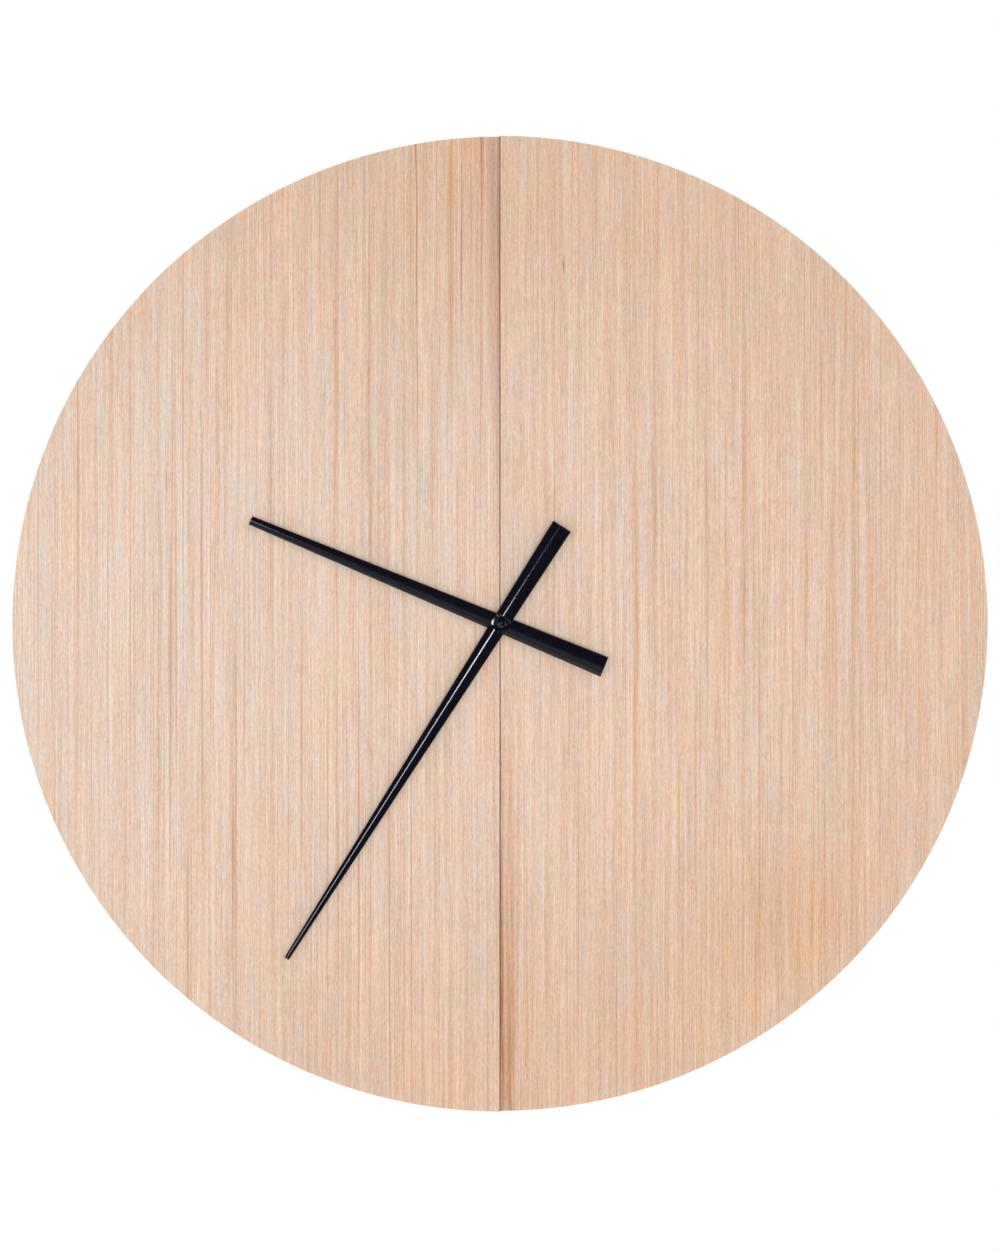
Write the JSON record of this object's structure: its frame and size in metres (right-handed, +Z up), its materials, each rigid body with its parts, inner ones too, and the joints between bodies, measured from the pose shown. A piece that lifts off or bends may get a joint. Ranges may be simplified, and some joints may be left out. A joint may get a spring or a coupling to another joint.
{
  "type": "wall clock",
  "caption": "Round wooden wall clock, split down the middle with its halves leaning opposite ways, with two plain black hands and a battery movement.",
  "frame": {"origin": "centre of the hanger plate's entry hole on the wall plane, which is where the wall screw holds the clock; the hands turn about a line 106.5 mm below it", "axes": "+Z up towards twelve o'clock, +X to the right of someone facing the clock, +Y into the wall"},
  "size_m": [0.5998, 0.0423, 0.6004],
  "materials": {
    "battery_sleeve": "gloss",
    "black_case": "matte",
    "black_lacquer": "gloss",
    "black_nut": "gloss",
    "black_nylon": "matte",
    "board_laminate": "satin",
    "brass": "satin",
    "contact_strip": "satin",
    "copper_wire": "satin",
    "crystal_can": "gloss",
    "epoxy": "gloss",
    "felt": "matte",
    "fibreboard": "matte",
    "grey_knob": "matte",
    "magnet": "satin",
    "motor_iron": "satin",
    "oak_veneer": "satin",
    "packer_wood": "matte",
    "rail_wood": "matte",
    "rubber": "matte",
    "white_nylon": "matte",
    "zinc_plate": "satin",
    "zinc_screw": "satin"
  },
  "bodies": {
    "clock_body": {"battery": "battery_sleeve", "chip": "epoxy", "circuit_board": "board_laminate", "coil_bobbin": "white_nylon", "coil_core": "motor_iron", "coil_winding": "copper_wire", "crystal": "crystal_can", "fixing_nut": "brass", "fixing_washer": "brass", "hanger_plate": "zinc_plate", "hanger_screws": "zinc_screw", "left_back_veneer": "oak_veneer", "left_face_veneer": "oak_veneer", "left_panel_core": "fibreboard", "left_rim_band": "oak_veneer", "left_seam_band": "oak_veneer", "long_rail_screws": "zinc_screw", "lower_left_packer": "packer_wood", "lower_left_pad": "felt", "lower_rail": "rail_wood", "lower_right_packer": "packer_wood", "lower_right_pad": "felt", "movement_front_case": "black_case", "movement_rear_cover": "black_case", "negative_contact": "contact_strip", "positive_contact": "contact_strip", "right_back_veneer": "oak_veneer", "right_face_veneer": "oak_veneer", "right_panel_core": "fibreboard", "right_rim_band": "oak_veneer", "right_seam_band": "oak_veneer", "rubber_washer": "rubber", "short_rail_screws": "zinc_screw", "stator_plate": "motor_iron", "threaded_bush": "brass", "train_bridge": "white_nylon", "upper_left_packer": "packer_wood", "upper_left_pad": "felt", "upper_rail": "rail_wood", "upper_right_packer": "packer_wood", "upper_right_pad": "felt"},
    "minute_hand": {"minute_hand": "black_lacquer", "cap_nut": "black_nut", "minute_arbor": "brass", "centre_wheel": "white_nylon"},
    "hour_hand": {"hour_hand": "black_lacquer", "hour_collet": "brass", "hour_wheel": "black_nylon"},
    "minute_wheel": {"minute_wheel": "white_nylon"},
    "setting_knob": {"setting_knob": "grey_knob", "setting_pinion": "brass"},
    "third_wheel": {"third_wheel": "white_nylon"},
    "fourth_wheel": {"fourth_wheel": "white_nylon"},
    "intermediate_wheel": {"intermediate_wheel": "white_nylon"},
    "rotor": {"rotor_magnet": "magnet", "rotor_pinion": "white_nylon"}
  },
  "joints": [
    {"name": "minute_hand_turn", "type": "hinge", "parent": "clock_body", "child": "minute_hand", "pos_m": [0, -0.0173, -0.1065], "axis": [0, 1, 0], "continuous": true},
    {"name": "hour_hand_turn", "type": "hinge", "parent": "clock_body", "child": "hour_hand", "pos_m": [0, -0.0173, -0.1065], "axis": [0, 1, 0], "continuous": true},
    {"name": "minute_wheel_turn", "type": "hinge", "parent": "clock_body", "child": "minute_wheel", "pos_m": [0.00424, -0.0173, -0.10226], "axis": [0, 1, 0], "continuous": true},
    {"name": "setting_knob_turn", "type": "hinge", "parent": "clock_body", "child": "setting_knob", "pos_m": [0.00944, -0.0173, -0.09926], "axis": [0, 1, 0], "continuous": true},
    {"name": "third_wheel_turn", "type": "hinge", "parent": "clock_body", "child": "third_wheel", "pos_m": [-0.00609, -0.0173, -0.10428], "axis": [0, 1, 0], "continuous": true},
    {"name": "fourth_wheel_turn", "type": "hinge", "parent": "clock_body", "child": "fourth_wheel", "pos_m": [-0.01139, -0.0173, -0.10122], "axis": [0, 1, 0], "continuous": true},
    {"name": "intermediate_wheel_turn", "type": "hinge", "parent": "clock_body", "child": "intermediate_wheel", "pos_m": [-0.01243, -0.0173, -0.09531], "axis": [0, 1, 0], "continuous": true},
    {"name": "rotor_turn", "type": "hinge", "parent": "clock_body", "child": "rotor", "pos_m": [-0.00857, -0.0173, -0.09208], "axis": [0, 1, 0], "continuous": true}
  ],
  "couplings": [
    {"joint": "hour_hand_turn", "follows": "minute_hand_turn", "ratio": 0.083333},
    {"joint": "minute_wheel_turn", "follows": "minute_hand_turn", "ratio": -0.33333},
    {"joint": "setting_knob_turn", "follows": "minute_hand_turn", "ratio": 1},
    {"joint": "third_wheel_turn", "follows": "minute_hand_turn", "ratio": -8},
    {"joint": "fourth_wheel_turn", "follows": "minute_hand_turn", "ratio": 60},
    {"joint": "intermediate_wheel_turn", "follows": "minute_hand_turn", "ratio": -300},
    {"joint": "rotor_turn", "follows": "minute_hand_turn", "ratio": 1800}
  ]
}
